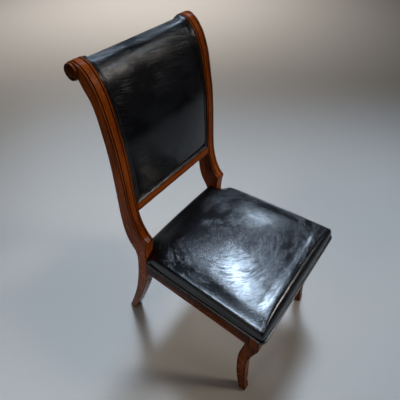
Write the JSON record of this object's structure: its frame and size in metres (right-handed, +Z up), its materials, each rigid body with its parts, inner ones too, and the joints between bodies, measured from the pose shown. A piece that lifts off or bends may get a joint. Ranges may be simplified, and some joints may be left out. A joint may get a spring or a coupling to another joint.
{
  "type": "klismos dining chair",
  "caption": "Scroll-back dining chair with sabre legs, moulded polished wood frame and padded black leather seat and back.",
  "frame": {"origin": "on the floor, under the middle of the whole chair", "axes": "+X the sitter's left, +Y the back of the chair, +Z up"},
  "size_m": [0.488, 0.6146, 1.0634],
  "materials": {
    "polished_wood": "red-brown polished hardwood with a dark glaze in the mouldings",
    "bare_hardwood": "unfinished beech",
    "plywood": "unfinished",
    "black_leather": "glossy finished leather with fine creases",
    "foam": "open-cell foam",
    "dust_cloth": "black non-woven cloth",
    "screw_steel": "zinc plated",
    "glide_plastic": "matt"
  },
  "bodies": {
    "root": {"right_back_post": "polished_wood", "left_back_post": "polished_wood", "right_front_leg": "polished_wood", "left_front_leg": "polished_wood", "right_seat_rail": "polished_wood", "left_seat_rail": "polished_wood", "right_scroll_rosette": "polished_wood", "left_scroll_rosette": "polished_wood", "right_front_corner_block": "bare_hardwood", "left_front_corner_block": "bare_hardwood", "right_rear_corner_block": "bare_hardwood", "left_rear_corner_block": "bare_hardwood", "right_front_side_screw": "screw_steel", "left_front_side_screw": "screw_steel", "right_front_end_screw": "screw_steel", "left_front_end_screw": "screw_steel", "right_front_seat_screw": "screw_steel", "left_front_seat_screw": "screw_steel", "right_rear_side_screw": "screw_steel", "left_rear_side_screw": "screw_steel", "right_rear_end_screw": "screw_steel", "left_rear_end_screw": "screw_steel", "right_rear_seat_screw": "screw_steel", "left_rear_seat_screw": "screw_steel", "right_front_glide": "glide_plastic", "left_front_glide": "glide_plastic", "right_rear_glide": "glide_plastic", "left_rear_glide": "glide_plastic", "front_seat_rail": "polished_wood", "rear_seat_rail": "polished_wood", "back_cross_rail": "polished_wood", "crest_rail": "bare_hardwood", "seat_board": "plywood", "seat_foam": "foam", "seat_cover": "black_leather", "seat_dust_cloth": "dust_cloth", "seat_welt_lower": "black_leather", "seat_welt_upper": "black_leather", "rear_seat_welt_lower": "black_leather", "rear_seat_welt_upper": "black_leather", "back_board": "plywood", "back_pad": "black_leather", "outside_back": "black_leather", "back_welt_outer": "black_leather", "back_welt_inner": "black_leather"}
  },
  "joints": []
}
